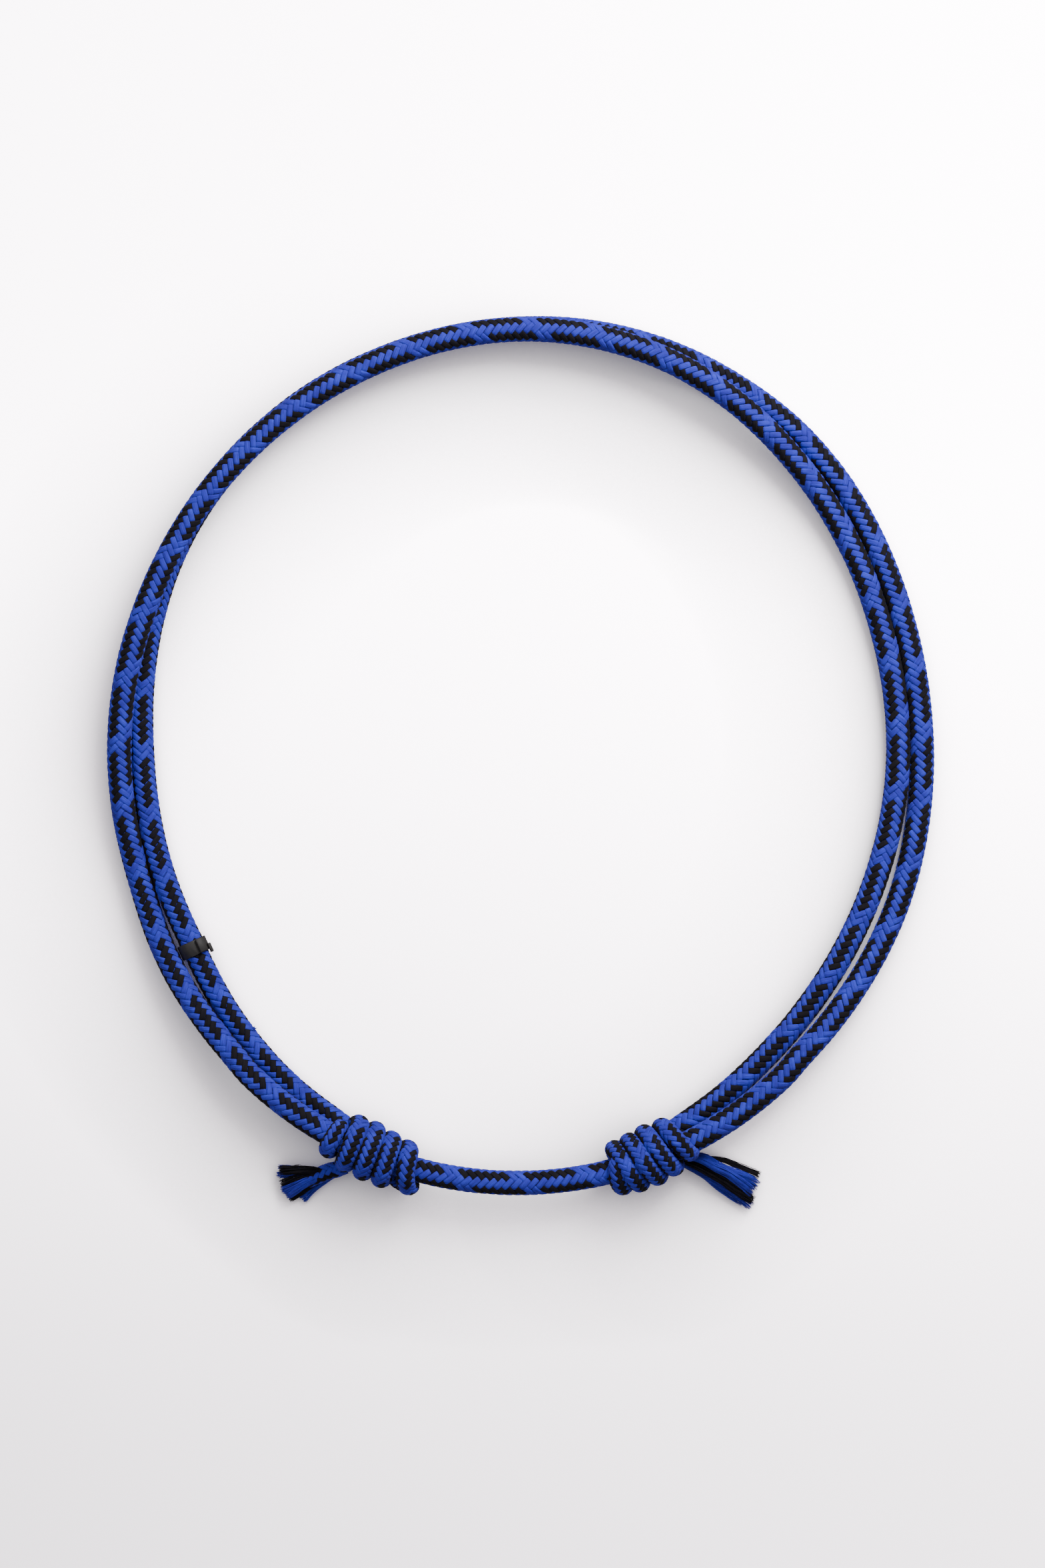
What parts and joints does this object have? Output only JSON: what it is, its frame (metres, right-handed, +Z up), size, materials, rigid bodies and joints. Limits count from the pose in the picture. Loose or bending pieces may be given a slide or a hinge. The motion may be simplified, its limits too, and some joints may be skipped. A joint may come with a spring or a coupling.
{
  "type": "rope neck ring",
  "caption": "Adjustable horse neck ring of braided rope laid round twice, with two sliding barrel knots, frayed rope ends and a small plastic tag band.",
  "frame": {"origin": "centre of the ring's bounding box, on the surface it lies on", "axes": "+Z up out of the ring's plane, +Y away from the two knots, +X to the right seen from above"},
  "size_m": [0.4239, 0.46, 0.0316],
  "materials": {
    "rope_sheath": "matt braided yarn, royal blue with black picks",
    "rope_core": "loose twisted filler yarn",
    "knot_rope": "matt braided yarn pulled tight, royal blue and black",
    "frayed_yarn": "loose fibres, royal blue and black",
    "tag_plastic": "moulded black plastic, satin"
  },
  "bodies": {
    "rope": {"under_strand_sheath": "rope_sheath", "under_strand_core": "rope_core", "over_strand_sheath": "rope_sheath", "over_strand_core": "rope_core", "bridge_strand_sheath": "rope_sheath", "bridge_strand_core": "rope_core"},
    "left_knot": {"left_knot_wraps": "knot_rope", "left_standing_end": "rope_sheath", "left_tail": "knot_rope", "left_tassel": "frayed_yarn"},
    "right_knot": {"right_knot_wraps": "knot_rope", "right_standing_end": "rope_sheath", "right_tail": "knot_rope", "right_tassel": "frayed_yarn"},
    "tag_band": {"tag_strap": "tag_plastic", "tag_buckle": "tag_plastic", "tag_latch_tab": "tag_plastic"}
  },
  "joints": [
    {"name": "left_knot_slide", "type": "hinge", "parent": "rope", "child": "left_knot", "pos_m": [-0.002, -0.0172, 0], "axis": [0, 0, 1], "range_deg": [-10, 14], "deforming": ["left_standing_end"]},
    {"name": "right_knot_slide", "type": "hinge", "parent": "rope", "child": "right_knot", "pos_m": [-0.002, -0.0172, 0], "axis": [0, 0, 1], "range_deg": [-12.4, 10], "deforming": ["right_standing_end"]},
    {"name": "tag_band_turn", "type": "hinge", "parent": "rope", "child": "tag_band", "pos_m": [-0.16815, -0.09428, 0.00756], "axis": [-0.4199, 0.9076, 0], "range_deg": [-78, 60]}
  ]
}
